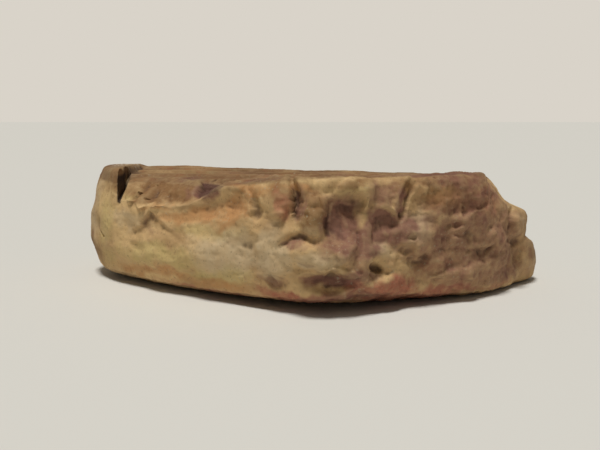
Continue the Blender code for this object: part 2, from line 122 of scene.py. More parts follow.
# The underside rests on a flat patch and rises around it.
REST_MIDDLE = (0.12 * LENGTH, 0.06 * DEPTH)
REST_HALF_LENGTH = 18.0 * MM
REST_HALF_DEPTH = 8.5 * MM
UNDERSIDE_RISE = 1.1 * MM
UNDERSIDE_POWER = 1.3

# Random lattices repeat after this many cells.
LATTICE = 32

# Unevenness of the whole lump and grain of its skin: height in mm, size in mm and seed. The top face
# has a share of the unevenness.
UNEVEN = ((0.45, 5.5, 3), (0.22, 2.3, 8))
FACE_UNEVEN = 0.35
GRAIN = ((0.050, 0.42, 41), (0.025, 0.22, 42))

# Flat chips of the broken front: height in mm, size in mm and seed. Then the skin's crumbs: their
# height and size.
CHIPS = ((0.42, 2.7, 31), (0.14, 1.3, 33))
CRUMB_HEIGHT = 0.12 * MM
CRUMB_SIZE = 0.8 * MM

# Pits of the skin: depth in mm, spacing in mm, the share of places that have one, and seed.
PITS = ((0.09, 1.2, 0.16, 44), (0.06, 0.6, 0.22, 45))

# The plate inside the lump that the rays start from, the net of points, how many triangles are kept
# of it, and the angle from which an edge is shaded as sharp.
PLATE_INSET = 4.6 * MM
PLATE_LOW = 4.0 * MM
PLATE_TOP = 9.8 * MM
REACH = 13.0 * MM
NET_AROUND = 640
NET_STEP = 0.155 * MM
TRIANGLES = 190_000
SHARP_ANGLE = math.radians(75)

# How a ray is followed: the share of the field's value that it steps in, its least step, how many
# steps it may take, and how often the last step is halved.
STEP_SHARE = 0.6
LEAST_STEP = 0.05 * MM
MOST_STEPS = 120
HALVINGS = 8

# Rounds of blurring after which the depth of fine and of large hollows is taken.
SMALL_BLUR = 6
LARGE_BLUR = 60

# Corners of the outline seen from above, left end first and then along the broken front:
# across as a share of the length, back as a share of the depth, and for the wall that starts
# there how far it leans in above and curls under below.
OUTLINE = (
    (-0.495, 0.268, 0.26, 0.32),
    (-0.474, 0.130, 0.18, 0.28),
    (-0.425, 0.022, 0.08, 0.20),
    (-0.050, -0.450, 0.16, 0.20),
    (0.020, -0.500, 0.16, 0.20),
    (0.095, -0.470, 0.12, 0.14),
    (0.318, -0.285, 0.16, 0.10),
    (0.515, 0.075, 0.10, 0.12),
    (0.479, 0.239, 0.25, 0.45),
    (0.363, 0.428, 0.20, 0.70),
    (0.151, 0.500, 0.15, 0.80),
    (-0.381, 0.486, 0.20, 0.80),
    (-0.470, 0.399, 0.28, 0.75),
)

# The broken front ends in a crisp lower edge, with the underside cut back below it: the edge's
# height at places across, (share, mm), and how far back the cut runs for its height.
LOWER_EDGE = ((-0.46, 1.5), (-0.39, 1.35), (-0.25, 1.0), (-0.09, 1.45), (0.05, 1.75), (0.13, 2.05),
              (0.19, 1.7), (0.26, 1.2), (0.335, 0.65), (0.42, 0.35))
CUT_BACK = 1.7

# Edges that run along the broken front, as (across, up) shares of the length and the height.
LIP = ((-0.42, 0.77), (-0.34, 0.77), (-0.31, 0.745), (-0.285, 0.67), (-0.255, 0.625),
       (-0.2, 0.67), (-0.135, 0.715), (-0.1, 0.80), (-0.06, 1.05))
FLAP = ((-0.42, 0.79), (-0.299, 0.755), (-0.236, 0.80), (-0.203, 0.857), (-0.165, 0.937),
        (-0.141, 0.985), (-0.10, 1.06), (-0.04, 1.10))

# The broken right end from the side: (up, across) shares, a low tip, a bump and the chipped corner.
RIGHT_END = ((0.02, 0.508), (0.17, 0.513), (0.26, 0.502), (0.39, 0.484), (0.46, 0.459),
             (0.51, 0.464), (0.66, 0.466), (0.70, 0.458), (0.73, 0.442), (0.76, 0.428),
             (0.89, 0.408), (0.97, 0.391), (1.06, 0.374))

# Lumps and dents of the broken front: across and up as shares of the length and the height,
# half width, half height and how far it stands out, in millimetres, then its turn in degrees.
LUMPS = (
    (-0.325, 0.640, 0.70, 0.40, -0.20, 20),
    (-0.255, 0.930, 1.90, 1.10, 0.55, -10),
    (-0.345, 0.400, 0.90, 0.50, -0.14, 10),
    (-0.250, 0.520, 1.10, 0.60, -0.14, 0),
    (-0.180, 0.400, 3.00, 1.80, 0.35, 0),
    (-0.300, 0.300, 2.60, 1.20, 0.30, 0),
    (-0.088, 0.830, 0.55, 1.30, -0.50, -8),
    (-0.104, 0.880, 0.50, 1.30, 0.40, 12),
    (-0.050, 0.870, 1.20, 1.80, 0.75, -10),
    (-0.048, 0.780, 0.80, 0.60, 0.30, 0),
    (0.013, 0.790, 1.10, 2.30, 0.75, 0),
    (0.007, 0.925, 0.45, 0.42, 0.40, 0),
    (0.020, 0.990, 1.15, 0.50, -0.15, 0),
    (0.066, 0.760, 2.20, 2.40, -0.80, 0),
    (0.068, 1.000, 1.15, 0.80, 0.45, 20),
    (0.108, 0.985, 1.25, 1.10, 0.55, -10),
    (0.105, 0.870, 0.30, 0.75, 0.45, -35),
    (0.140, 0.735, 1.70, 1.10, -0.55, 10),
    (0.140, 0.930, 1.10, 1.30, -0.40, 0),
    (0.027, 0.490, 3.20, 1.50, 1.00, 0),
    (-0.004, 0.490, 1.00, 0.90, 0.35, 0),
    (0.066, 0.520, 0.90, 0.90, 0.30, 0),
    (0.050, 0.475, 0.40, 0.95, -0.30, 0),
    (-0.015, 0.600, 1.60, 0.66, -0.40, 15),
    (0.055, 0.375, 2.00, 0.35, 0.45, 0),
    (0.050, 0.275, 2.90, 0.85, -0.95, 0),
    (0.126, 0.385, 0.75, 0.42, -0.90, -20),
    (-0.052, 0.265, 1.00, 0.60, -0.28, 0),
    (-0.100, 0.530, 0.80, 0.55, -0.16, 0),
    (0.145, 0.230, 2.20, 1.00, 0.45, 0),
    (0.155, 0.900, 1.20, 1.60, 0.30, 0),
    (0.240, 0.880, 2.60, 1.90, 0.45, 0),
    (0.283, 0.890, 0.70, 1.40, -0.25, 0),
    (0.278, 0.660, 1.50, 0.60, -0.30, 5),
    (0.262, 0.500, 0.80, 1.30, -0.35, 10),
    (0.300, 0.560, 2.00, 0.60, -0.25, -8),
    (0.205, 0.600, 1.80, 1.90, 0.45, 0),
    (0.345, 0.385, 2.60, 1.00, -0.45, -8),
    (0.255, 0.310, 2.40, 0.90, -0.32, 15),
    (0.188, 0.590, 0.50, 0.40, -0.26, 0),
    (0.178, 0.480, 0.90, 0.60, -0.24, 0),
    (0.203, 0.400, 1.60, 0.80, -0.32, 10),
    (0.320, 0.700, 2.20, 1.40, 0.35, 20),
    (0.290, 0.220, 2.60, 1.10, 0.30, 0),
    (0.400, 0.640, 1.60, 2.00, -0.30, 0),
    (0.370, 0.560, 1.50, 1.00, 0.40, 0),
    (0.445, 0.620, 1.50, 1.45, 0.80, 0),
    (0.430, 0.455, 1.60, 0.55, -0.60, 0),
    (0.470, 0.250, 1.60, 1.20, 0.50, 0),
    (0.395, 0.860, 0.50, 0.40, -0.50, 0),
)

# Narrow grooves and ridges of the broken front: paths of (across, up) shares, half width and depth
# in mm, less than nothing for a ridge.
CREASES = (
    (((-0.023, 1.10), (-0.020, 0.94), (-0.010, 0.80)), 0.52, 1.10),
    (((0.207, 1.08), (0.182, 0.98), (0.174, 0.92), (0.173, 0.78)), 0.50, 0.50),
    (((-0.362, 0.79), (-0.330, 0.96)), 0.62, -0.46),
    (((-0.330, 0.78), (-0.292, 0.96)), 0.62, -0.52),
    (((-0.297, 0.77), (-0.268, 0.94)), 0.58, -0.44),
    (((-0.175, 0.965), (-0.140, 1.00), (-0.105, 1.03)), 0.26, 0.45),
    (((-0.445, 0.62), (-0.450, 0.50), (-0.435, 0.40)), 0.16, 0.35),
    (((0.036, 0.92), (0.034, 0.66)), 0.30, 0.25),
    (((0.090, 0.66), (0.088, 0.45), (0.100, 0.36)), 0.32, 0.22),
)

# Flat breaks: three corners, each (across, up, how far out in mm).
BREAKS = (
    ((-0.308, 0.705, -0.75), (-0.372, 0.440, 0.05), (-0.250, 0.480, 0.0)),
    ((-0.325, 0.790, -0.45), (-0.285, 0.960, -0.35), (-0.300, 0.790, -0.10)),
    ((0.118, 1.040, 0.10), (0.168, 1.040, -0.20), (0.170, 0.760, -0.45)),
    ((0.240, 0.480, -0.10), (0.380, 0.450, -0.45), (0.300, 0.280, -0.10)),
    ((0.300, 0.980, 0.10), (0.370, 0.820, 0.00), (0.300, 0.740, -0.45)),
)

# The camera, found from how the outline narrows with distance.
CAMERA_PLACE = (-0.95 * MM, -94.4 * MM, 20.0 * MM)
CAMERA_PITCH = math.radians(7.7)
CAMERA_LENS = 48.0

# The light: the lamp's turn and spread in degrees, its power and colour, and how strong the room is.
LAMP_TURN = (12, -6, 0)
LAMP_SPREAD = 13
LAMP_POWER = 2.50
LAMP_COLOUR = (1.0, 0.98, 0.95)
ROOM_LIGHT = 0.24

# Colours as a screen shows them, from 0 to 255: the surface and the far wall, the clay where it is
# dark and light, grains, painted shade mixed with dark earth in the recesses, painted shade in the
# slot, and what lies over the clay: a painted highlight on raised edges, the pale crust, and the
# stains with the painted shade that some of them carry.
SURFACE = (220, 219, 213)
FAR_WALL = (217, 211, 201)
DARK_CLAY = (188, 153, 108)
LIGHT_CLAY = (218, 184, 132)
PALE_GRAINS = (186, 176, 148)
DARK_GRAINS = (82, 60, 44)
# Painted shade, mixed with dark earth on the top face: it darkens what lies deep, what faces down and the
# hollow behind the flap.
EARTH_AND_SHADE = (66, 44, 38)
# Painted shade, nearly black, in the narrow slot and the crack behind it.
SLOT_SHADE = (38, 24, 22)
# A painted highlight: paler clay on raised edges.
EDGE_HIGHLIGHT = (182, 156, 114)
CRUST = (214, 204, 182)
# The mauve and umber also paint shade in dents, in the hollow behind the flap and on the bench's steep
# flanks.
STAIN_AND_SHADE_COLOURS = {"olive": (205, 182, 123), "grey": (208, 186, 150), "umber_and_shade": (136, 99, 62),
                 "orange": (194, 144, 94), "red": (172, 106, 84), "mauve_and_shade": (136, 94, 80)}


def ramp(value, low, high):
    """0 below low, 1 above high, and a smooth rise 3t^2 - 2t^3 between them."""
    t = np.clip((value - low) / (high - low), 0, 1)
    return t * t * (3 - 2 * t)


def smooth_least(values, soft):
    """The least of several fields with the corners where they meet rounded: -s log(sum(exp(-v / s)))."""
    low = values.min(axis=0)
    return low - soft * np.log(np.exp((low - values) / soft).sum(axis=0))


def height_of(path, across):
    """The height of an edge, given as shares, at each place across, in metres."""
    xs, zs = np.array(path).T
    return np.interp(across, xs * LENGTH, zs * HEIGHT)


def walls():
    """For each wall its outward direction, its distance from the middle, its lean and its curl."""
    corners = np.array(OUTLINE)
    start = corners[:, :2] * (LENGTH, DEPTH)
    side = np.roll(start, -1, axis=0) - start
    side /= np.linalg.norm(side, axis=1)[:, None]
    outward = np.stack([side[:, 1], -side[:, 0]], axis=1)
    return outward, (outward * start).sum(axis=1), corners[:, 2], corners[:, 3]


def distance_to_path(across, up, path):
    """The distance from each point of the front wall to a path of short straight pieces."""
    points = np.array(path) * (LENGTH, HEIGHT)
    least = np.full(across.shape, np.inf)
    for (ax, az), (bx, bz) in zip(points[:-1], points[1:]):
        run = np.array([bx - ax, bz - az])
        t = np.clip(((across - ax) * run[0] + (up - az) * run[1]) / (run @ run), 0, 1)
        least = np.minimum(least, np.hypot(across - ax - t * run[0], up - az - t * run[1]))
    return least


def lump(across, up, place, half, turn):
    """1 in the middle of a turned oval of the wall, falling smoothly to 0 from 0.40 to 1.30 times the
    way to its rim x^2 + z^2 = 1."""
    c, s = math.cos(math.radians(turn)), math.sin(math.radians(turn))
    x, z = across - place[0] * LENGTH, up - place[1] * HEIGHT
    u, v = (c * x + s * z) / half[0], (c * z - s * x) / half[1]
    return 1 - ramp(np.hypot(u, v), 0.40, 1.30)


def flat_break(across, up, corners):
    """A flat three-cornered break: the plane through its corners inside them, 0 outside. Each point's
    shares of the three corners give both the height of the plane and the way to the nearest side."""
    (ax, az, ah), (bx, bz, bh), (cx, cz, ch) = corners
    x, z = across / LENGTH, up / HEIGHT
    whole = (bx - ax) * (cz - az) - (cx - ax) * (bz - az)
    b = ((x - ax) * (cz - az) - (cx - ax) * (z - az)) / whole
    c = ((bx - ax) * (z - az) - (x - ax) * (bz - az)) / whole
    shares = np.stack([1 - b - c, b, c])
    inside = ramp(shares.min(axis=0), -0.05, 0.09)
    held = np.clip(shares, 0, 1)
    return MM * inside * (held * np.array([[ah], [bh], [ch]])).sum(axis=0) / held.sum(axis=0)


def broken_bench(across, up):
    """How far the upper left of the front is broken back: a groove between lip and flap, and a slope
    above them that is steepest beside the slot."""
    lip, flap = height_of(LIP, across), height_of(FLAP, across)
    within = ramp(across, -0.388 * LENGTH, -0.376 * LENGTH)
    within = within * (1 - ramp(across, -0.11 * LENGTH, -0.08 * LENGTH))
    between = np.clip((up - lip) / np.maximum(flap - lip, 0.3 * MM), 0, 1)
    deep = 0.65 * MM * ramp(across, -0.30 * LENGTH, -0.14 * LENGTH)
    groove = deep * np.sin(np.pi * between ** 0.8) ** 1.2
    from_slot = across - (BORDER_WIDTH + 0.7 * SLOT_WIDTH - 0.5 * LENGTH)
    slope = (0.35 + 1.25 * ramp(from_slot, 0, 4.4 * MM)) * np.clip(up - flap, 0, None)
    shelf = 0.35 * MM * ramp(up, flap, flap + 0.25 * MM)
    return within * (groove + slope + shelf)


def hollow(across, up):
    """The dark hollow behind the flap: deepest at the flap, and less deep at the top face's edge."""
    floor = height_of(FLAP, across)
    inside = ramp(across, -0.214 * LENGTH, -0.200 * LENGTH)
    inside = inside * (1 - ramp(across, -0.175 * LENGTH, -0.135 * LENGTH))
    deep = (3.4 - 1.2 * np.clip((up - floor) / (2 * MM), 0, 1)) * MM
    return deep * inside * ramp(up, floor - 0.1 * MM, floor + 0.3 * MM)


def front_relief(across, up):
    """How far the broken front stands out of its plain walls, in metres, at each (across, up)."""
    out = -broken_bench(across, up) - hollow(across, up)
    for x, z, half_width, half_height, rise, turn in LUMPS:
        out += rise * MM * lump(across, up, (x, z), (half_width * MM, half_height * MM), turn)
    for path, half_width, deep in CREASES:
        near = distance_to_path(across, up, path) / (half_width * MM)
        out -= deep * MM * (1 - ramp(near, 0.35, 1.35))
    for corners in BREAKS:
        out += flat_break(across, up, corners)
    return out


def right_end(x, y, z):
    """The broken right end: its profile seen from the side, with the chipped corner above turned so
    that it draws back towards the front."""
    up, across = np.array(RIGHT_END).T
    reach = np.interp(z, up * HEIGHT, across * LENGTH)
    turned = 0.21 * ramp(z, 0.68 * HEIGHT, 0.85 * HEIGHT) * (y - 0.065 * DEPTH)
    return 0.8 * (reach + turned - x)


def chips(across, up, size, seed):
    """Flat chips with worn creases: around each of a set of scattered middles lies a tilted plane,
    h + g . (p - middle), where the heights h vary gently from one to the next and g is their slope
    there. A point takes the mean of the planes near it, weighted by exp(-14 distance^2)."""
    chance = np.random.default_rng(seed).uniform(-1, 1, (3, LATTICE, LATTICE))
    height = sum(np.roll(chance[0], step, axis) for axis in (0, 1) for step in (-1, 0, 1)) / 3
    slopes = [(np.roll(height, -1, axis) - np.roll(height, 1, axis)) / 2 for axis in (0, 1)]
    place = np.stack([across, up]) / size
    cell = np.floor(place).astype(int)
    total = weights = 0
    for step in np.ndindex(3, 3):
        near = cell + np.array(step)[:, None] - 1
        here = tuple(near % LATTICE)
        away = place - near - 0.5 - 0.35 * np.stack([chance[1][here], chance[2][here]])
        weight = np.exp(-14 * (away ** 2).sum(axis=0)) + 1e-9
        total = total + weight * (height[here] + slopes[0][here] * away[0] + slopes[1][here] * away[1])
        weights = weights + weight
    return total / weights


def plain_face(x, y):
    """The height of the twisted plane of the top face: h + r x - f y - t x y, and c y^2 in front."""
    across, back = x / LENGTH, y / DEPTH
    flat = HEIGHT + TOP_RISE_RIGHT * across - TOP_FALL_BACK * back
    return flat - TOP_TWIST * across * back + TOP_CURVE * np.minimum(back, 0) ** 2


def top_face(x, y):
    """The height of the top face: a plain border on the left, and a sunken field with raised rules,
    whose front edge is worn."""
    left = ramp(x, BORDER_EDGE - 0.1 * MM, BORDER_EDGE + 0.8 * MM)
    edge = 0.5 * DEPTH - BACK_BORDER_WIDTH - 0.10 * (np.abs(x / LENGTH) ** 3) * DEPTH
    back = 1 - ramp(y, edge - 0.5 * MM, edge)
    from_rule = np.abs((y - 0.5 * ROW_HEIGHT) / ROW_HEIGHT % 1 - 0.5) * ROW_HEIGHT
    rule = 1 - ramp(from_rule, 0.2 * RULE_WIDTH, RULE_WIDTH)
    from_worn = np.hypot(x - WORN_EDGE_PLACE[0], y - WORN_EDGE_PLACE[1]) / WORN_EDGE_REACH
    worn = WORN_EDGE_DEPTH * (1 - ramp(from_worn, 0.2, 1))
    field = plain_face(x, y) + back * (RULE_RISE * rule - FIELD_SUNK) - worn
    return (1 - left) * (BORDER_HEIGHT - BORDER_FALL_BACK * y / DEPTH) + left * field


def strokes():
    """Where each stroke lies: its middle, its turn and its length, row by row."""
    chance = np.random.default_rng(17)
    found = []
    for row in range(-3, 3):
        y = (row + 0.5) * ROW_HEIGHT
        reach = 0.5 * LENGTH * (1 - 0.30 * abs(y / (0.5 * DEPTH)) ** 2)
        field_starts = BORDER_WIDTH + SLOT_WIDTH + 1.4 * MM - 0.5 * LENGTH
        left = max(field_starts, -0.245 * LENGTH - 1.3 * (y - 0.02 * DEPTH))
        right = min(reach - 4.2 * MM, 0.27 * LENGTH + 1.5 * (y + 0.26 * DEPTH))
        x = left
        while x < right:
            turn = math.radians(90 + chance.uniform(-38, 38)) * (1 if chance.random() > 0.25 else 0.15)
            long = STROKE_LENGTH * chance.uniform(0.7, 1.0)
            found.append((x, y + chance.uniform(-0.3, 0.3) * MM, turn, long))
            x += STROKE_SPACING * chance.uniform(0.75, 1.25)
    return found


def pressed(x, y):
    """How deep the strokes go at each place of the face: wedges with a broad head and a thin tail."""
    deep = np.zeros_like(x)
    for px, py, turn, long in strokes():
        c, s = math.cos(turn), math.sin(turn)
        u, v = (c * (x - px) + s * (y - py)) / long, (c * (y - py) - s * (x - px)) / STROKE_WIDTH
        along = np.clip(u + 0.5, 0, 1)
        half = 0.55 - 0.42 * along
        across = np.clip(1 - np.abs(v) / half, 0, 1)
        ends = ramp(u, -0.56, -0.44) * (1 - ramp(u, 0.40, 0.56))
        deep = np.maximum(deep, STROKE_DEPTH * across * ends * (1.15 - 0.75 * along))
    return deep


def slot_cutter():
    """What is cut away for the slot beside the border: a rough wedge, upright on its left, slanting on
    its right, with a floor that rises to the back."""
    left, proud = BORDER_EDGE, 2 * MM
    bm = bmesh.new()
    for y, deep, wide in ((SLOT_FRONT, SLOT_DEPTH, SLOT_WIDTH),
                          (SLOT_FRONT + SLOT_LENGTH, SLOT_BACK_DEPTH, SLOT_BACK_SHARE * SLOT_WIDTH)):
        top = plain_face(left, y)
        slant = (1 - SLOT_FLOOR_SHARE) * proud / deep
        for x, z in ((left, top - deep), (left + SLOT_FLOOR_SHARE * wide, top - deep),
                     (left, top + proud), (left + wide * (1 + slant), top + proud)):
            bm.verts.new((x, y, z))
    bmesh.ops.convex_hull(bm, input=bm.verts[:])
    bmesh.ops.subdivide_edges(bm, edges=bm.edges[:], cuts=24, use_grid_fill=True)
    bmesh.ops.recalc_face_normals(bm, faces=bm.faces)
    mesh = bpy.data.meshes.new("slot cutter")
    bm.to_mesh(mesh)
    bm.free()
    place = read(mesh.vertices, "co", 3)
    x, y, z = place.T
    place[:, 0] += layered(x, y, z, SLOT_WALL_LUMPS)
    place[:, 2] += layered(x, y, z, SLOT_FLOOR_LUMPS)
    mesh.vertices.foreach_set("co", place.astype(np.float32).ravel())
    return bpy.data.objects.new("slot cutter", mesh)


def with_slot(mesh):
    """The skin with the slot beside the border cut into it."""
    whole, cutter = bpy.data.objects.new("whole", mesh), slot_cutter()
    for obj in (whole, cutter):
        bpy.context.scene.collection.objects.link(obj)
    cut = whole.modifiers.new("slot", "BOOLEAN")
    cut.operation = "DIFFERENCE"
    cut.solver = "EXACT"
    cut.object = cutter
    done = bpy.data.meshes.new_from_object(whole.evaluated_get(bpy.context.evaluated_depsgraph_get()))
    bpy.data.objects.remove(whole)
    bpy.data.objects.remove(cutter)
    return done


def in_slot(x, y, z):
    """1 on the walls and the floor of the slot, where its shade is painted nearly black, a half in the
    crack behind it, and 0 elsewhere."""
    left = BORDER_EDGE
    back = np.clip((y - SLOT_FRONT) / SLOT_LENGTH, 0, 1)
    deep = SLOT_DEPTH + (SLOT_BACK_DEPTH - SLOT_DEPTH) * back
    up = z - plain_face(left, y) + deep
    wide = SLOT_WIDTH * (1 - (1 - SLOT_BACK_SHARE) * back)
    right = left + wide * (SLOT_FLOOR_SHARE + (1 - SLOT_FLOOR_SHARE) * up / deep)
    across = ramp(x, left - 0.25 * MM, left - 0.1 * MM) * (1 - ramp(x, right, right + 0.2 * MM))
    upright = ramp(up, -0.25 * MM, -0.05 * MM) * (1 - ramp(up - deep, 0.3 * MM, 0.6 * MM))
    cut = across * upright * (1 - ramp(back, 0.75, 1)) * ramp(y, SLOT_FRONT, -0.10 * DEPTH)
    tail = 0.5 * ramp(slot_tail(x, y), 0.1 * MM, 0.25 * MM) * ramp(up - deep, -0.9 * MM, -0.6 * MM)
    return np.maximum(cut, tail)


def pale_crust(x, y, z):
    """How pale the crust is on the border beside the back of the slot: an oval with a ragged rim."""
    from_middle = np.hypot((x - CRUST_MIDDLE[0]) / CRUST_HALF[0], (y - CRUST_MIDDLE[1]) / CRUST_HALF[1])
    ragged = from_middle + 0.35 * lattice_noise(x, y, z, 0.9 * MM, 72)
    return (1 - ramp(ragged, 0.6, 1.2)) * ramp(z, 0.9 * HEIGHT, 0.95 * HEIGHT)


def slot_tail(x, y):
    """How deep the thin crack goes that runs on behind the slot, over the top face to the back. Its
    middle line swings to both sides as a sine of the way back."""
    away = np.abs(x - BORDER_WIDTH + 0.5 * LENGTH - 0.35 * MM - 0.12 * MM * np.sin(y / (1.3 * MM)))
    along = ramp(y, 1 * MM, 3 * MM) * (1 - ramp(y, TAIL_ENDS - 3 * MM, TAIL_ENDS))
    return TAIL_DEPTH * along * (1 - ramp(away, 0.08 * MM, 0.38 * MM))


def lattice_noise(x, y, z, size, seed):
    """Smooth noise from -1 to 1: seeded random numbers at the corners of a lattice, blended along each
    axis by 3t^2 - 2t^3."""
    table = np.random.default_rng(seed).uniform(-1, 1, (LATTICE, LATTICE, LATTICE))
    cell = [np.floor(v / size).astype(int) for v in (x, y, z)]
    part = [v / size - c for v, c in zip((x, y, z), cell)]
    blend = [t * t * (3 - 2 * t) for t in part]
    total = 0
    for corner in np.ndindex(2, 2, 2):
        weight = 1
        for axis in range(3):
            weight = weight * (blend[axis] if corner[axis] else 1 - blend[axis])
        total = total + weight * table[tuple((cell[axis] + corner[axis]) % LATTICE for axis in range(3))]
    return total


def layered(x, y, z, layers):
    """Several noises added up, from a table of (height in mm, size in mm, seed)."""
    return sum(high * MM * lattice_noise(x, y, z, size * MM, seed) for high, size, seed in layers)


def front_share(x, y):
    """1 on the broken front and 0 on the whole sides and back."""
    return 1 - ramp(y + 0.12 * DEPTH * ramp(x, 0, 0.5 * LENGTH), -0.02 * DEPTH, 0.16 * DEPTH)


def clay(points):
    """The whole form: positive inside the clay, about the distance to its surface in metres. It is the
    least of the ways to the walls, the top face, the underside and the right end, with their corners
    rounded. The walls stand out by the front's relief, and the underside rises as the way out from
    its flat patch to a power."""
    x, y, z = points.T
    outward, reach, lean, curl = walls()
    above = np.clip(z - LEAN_STARTS, 0, None)
    below = CURL_STARTS * np.clip(1 - z / CURL_STARTS, 0, None) ** CURL_POWER
    uneven = layered(x, y, z, UNEVEN)
    bent = [v + 0.5 * MM * lattice_noise(x, y, z, 2.4 * MM, seed)
            + 0.12 * MM * lattice_noise(x, y, z, 0.9 * MM, seed + 2) for v, seed in ((x, 21), (z, 22))]
    along = x + FRONT_SLANT * y
    flat = sum(high * MM * chips(along, z, size * MM, seed) for high, size, seed in CHIPS)
    torn = 0.35 + 0.65 * ramp(x, -0.12 * LENGTH, 0.06 * LENGTH)
    share, edge = np.array(LOWER_EDGE).T
    cut_back = CUT_BACK * np.clip(np.interp(x, share * LENGTH, edge * MM) + 0.5 * uneven - z, 0, None)
    bumps = front_share(x, y) * (front_relief(*bent) + torn * flat - cut_back) + uneven
    sides = reach[:, None] - outward @ points.T[:2] - np.outer(lean, above) - np.outer(curl, below) + bumps
    marks = np.maximum(pressed(x, y), slot_tail(x, y))
    face = top_face(x, y) + FACE_UNEVEN * uneven - np.where(z > 0.8 * HEIGHT, marks, 0)
    out = np.hypot((x - REST_MIDDLE[0]) / REST_HALF_LENGTH, (y - REST_MIDDLE[1]) / REST_HALF_DEPTH)
    under = UNDERSIDE_RISE * np.clip(out - 1, 0, None) ** UNDERSIDE_POWER
    field = smooth_least(np.vstack([sides, face - z, z - under]), WEAR)
    end = right_end(x, y, z) + 0.5 * uneven + 0.6 * flat
    return smooth_least(np.stack([field, end]), END_WEAR)


def plate_rim(around):
    """Points around the rim of the inner plate and their outward directions. They are spaced evenly on
    the wall outside it, and closer on the broken front."""
    outward, reach, _, _ = walls()
    turn = np.linspace(0, 2 * math.pi, 4001)
    ray = np.stack([np.cos(turn), np.sin(turn)])
    facing = outward @ ray
    far = np.where(facing > 0.05, (reach - PLATE_INSET)[:, None] / np.maximum(facing, 0.05), 1.0)
    rim = (smooth_least(far, 0.6 * MM) * ray).T
    run = np.gradient(np.vstack([rim[-2], rim, rim[1]]), axis=0)[1:-1]
    facing_out = np.stack([run[:, 1], -run[:, 0]], axis=1)
    facing_out /= np.linalg.norm(facing_out, axis=1)[:, None]
    wall = rim + 1.1 * PLATE_INSET * facing_out
    steps = np.linalg.norm(np.diff(wall, axis=0), axis=1)
    steps *= 1 + 0.9 * (1 - ramp(wall[1:, 1], -0.1 * DEPTH, 0.2 * DEPTH))
    length = np.concatenate([[0], np.cumsum(steps)])
    places = np.linspace(0, length[-1], around + 1)[:-1]
    at = [np.interp(places, length, line) for line in (*rim.T, *facing_out.T)]
    return np.stack(at[:2], axis=1), np.stack(at[2:], axis=1)


def rays(around, step):
    """The net's rays, row by row from the underside up the wall to the top face: where each starts on
    the inner plate and which way it points. Rows run straight down, fan out, run level, fan in, run up."""
    rim, outward = plate_rim(around)
    fan = round(8.6 * MM / step)
    wall = round((PLATE_TOP - PLATE_LOW) / step)
    starts, ways = [], []

    def add(share, height, angle):
        starts.append(np.column_stack([rim * share, np.full(around, height)]))
        ways.append(np.column_stack([outward * math.cos(angle), np.full(around, math.sin(angle))]))

    for share in np.linspace(0.06, 1, fan // 3 + 2)[:-1]:
        add(share, PLATE_LOW, -math.pi / 2)
    for angle in np.linspace(-math.pi / 2, 0, fan + 1)[:-1]:
        add(1, PLATE_LOW, angle)
    for height in np.linspace(PLATE_LOW, PLATE_TOP, wall + 1)[:-1]:
        add(1, height, 0)
    for angle in np.linspace(0, math.pi / 2, fan + 1)[:-1]:
        add(1, PLATE_TOP, angle)
    for share in np.linspace(1, 0.01, round(1.5 * fan)):
        add(share, PLATE_TOP, math.pi / 2)
    return np.array(starts), np.array(ways)


def drawn_in(starts, ways):
    """Where each ray first meets the clay from outside: it steps in by a share of the field's value,
    then halves the last step until the surface is found."""
    flat_starts, flat_ways = starts.reshape(-1, 3), ways.reshape(-1, 3)
    outer = np.full(len(flat_starts), REACH)
    inner = outer.copy()
    moving = np.arange(len(outer))
    for _ in range(MOST_STEPS):
        value = clay(flat_starts[moving] + inner[moving, None] * flat_ways[moving])
        still = (value < 0) & (inner[moving] > 0.3 * MM)
        moving, value = moving[still], value[still]
        if not len(moving):
            break
        outer[moving] = inner[moving]
        inner[moving] -= np.maximum(STEP_SHARE * -value, LEAST_STEP)
    inner = np.maximum(inner, 0.2 * MM)
    for _ in range(HALVINGS):
        middle = (inner + outer) / 2
        inside = clay(flat_starts + middle[:, None] * flat_ways) > 0
        inner, outer = np.where(inside, middle, inner), np.where(inside, outer, middle)
    points = flat_starts + inner[:, None] * flat_ways
    points[np.abs(points[:, 2]) < 0.03 * MM, 2] = 0
    return points.reshape(starts.shape)


def net_normals(net):
    """Outward normals of a net: the cross product of its steps along the rows and up the columns."""
    along = np.roll(net, -1, axis=1) - np.roll(net, 1, axis=1)
    up = np.gradient(net, axis=0)
    normal = np.cross(along, up)
    return normal / np.maximum(np.linalg.norm(normal, axis=2), 1e-12)[..., None]


def pits(x, y, z, size, share, seed):
    """Round pits: one somewhere in each cell of a lattice, in a share of the cells, with its own
    radius. 1 at the middle of a pit and 0 outside it."""
    chance = np.random.default_rng(seed).uniform(0, 1, (5, LATTICE, LATTICE, LATTICE))
    cell = np.stack([np.floor(v / size).astype(int) for v in (x, y, z)])
    deepest = np.zeros_like(x)
    for step in np.ndindex(3, 3, 3):
        near = cell + np.array(step)[:, None] - 1
        here = tuple(near % LATTICE)
        middle = [(near[i] + 0.2 + 0.6 * chance[i][here]) * size for i in range(3)]
        radius = size * (0.15 + 0.3 * chance[3][here]) * (chance[4][here] < share)
        away = np.sqrt((x - middle[0]) ** 2 + (y - middle[1]) ** 2 + (z - middle[2]) ** 2)
        deepest = np.maximum(deepest, np.clip(1 - away / np.maximum(radius, 1e-9), 0, 1))
    return deepest


